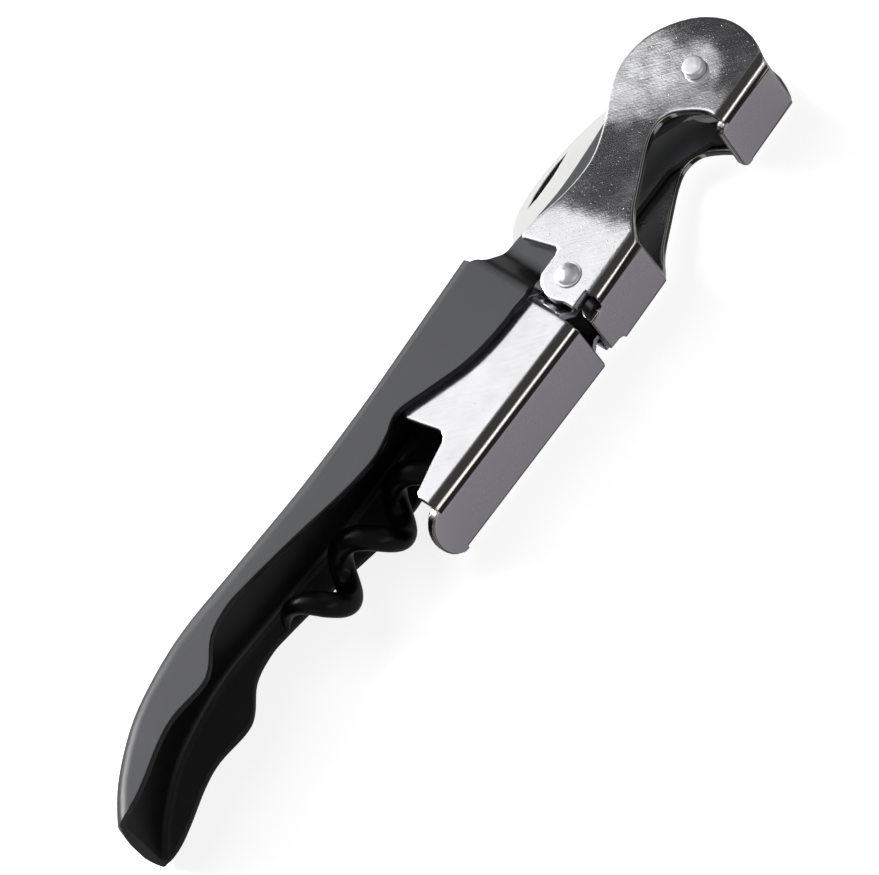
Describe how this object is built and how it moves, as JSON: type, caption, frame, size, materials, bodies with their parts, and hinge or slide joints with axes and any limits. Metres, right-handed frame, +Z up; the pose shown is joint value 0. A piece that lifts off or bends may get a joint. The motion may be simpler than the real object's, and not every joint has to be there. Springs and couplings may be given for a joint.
{
  "type": "lever corkscrew",
  "caption": "Folding pocket corkscrew with a jointed lever, a coiled worm, a cap-lifter hook and a foil knife in a channel handle.",
  "frame": {"origin": "under the middle of the folded corkscrew's box, on the surface that it lies on", "axes": "+X from the handle's tail to the head, +Y to the handle's back, +Z up, along every pivot"},
  "size_m": [0.1248, 0.0212, 0.0144],
  "materials": {
    "black_paint": "satin black paint on folded steel sheet",
    "polished_steel": "bright plated steel sheet with fine scratches",
    "rivet_steel": "satin rivet heads",
    "blade_steel": "pale satin ground blade",
    "black_coating": "smooth black non-stick coating"
  },
  "bodies": {
    "handle": {"handle_shell": "black_paint", "head_rivet": "rivet_steel", "knife_spacer_near": "rivet_steel", "knife_spacer_far": "rivet_steel", "worm_pin": "rivet_steel", "worm_spacer_near": "black_coating", "worm_spacer_far": "black_coating"},
    "upper_lever": {"upper_lever": "polished_steel", "knuckle_rivet": "rivet_steel"},
    "lower_lever": {"lower_lever": "polished_steel"},
    "knife": {"knife_blade": "blade_steel"},
    "worm": {"worm": "black_coating"}
  },
  "joints": [
    {"name": "lever_pivot", "type": "hinge", "parent": "handle", "child": "upper_lever", "pos_m": [0.05476, -0.00157, 0.0072], "axis": [0, 0, 1], "range_deg": [0, 150]},
    {"name": "knuckle_pivot", "type": "hinge", "parent": "upper_lever", "child": "lower_lever", "pos_m": [0.02446, -0.00507, 0.0072], "axis": [0, 0, -1], "range_deg": [0, 65]},
    {"name": "worm_pivot", "type": "hinge", "parent": "handle", "child": "worm", "pos_m": [0.01616, 0.00063, 0.0072], "axis": [0, 0, 1], "range_deg": [0, 95]},
    {"name": "knife_pivot", "type": "hinge", "parent": "handle", "child": "knife", "pos_m": [0.05476, -0.00157, 0.0072], "axis": [0, 0, -1], "range_deg": [0, 155]}
  ],
  "couplings": [
    {"joint": "knuckle_pivot", "follows": "lever_pivot", "ratio": 0.433},
    {"joint": "worm_pivot", "follows": "lever_pivot", "ratio": 0.62}
  ]
}
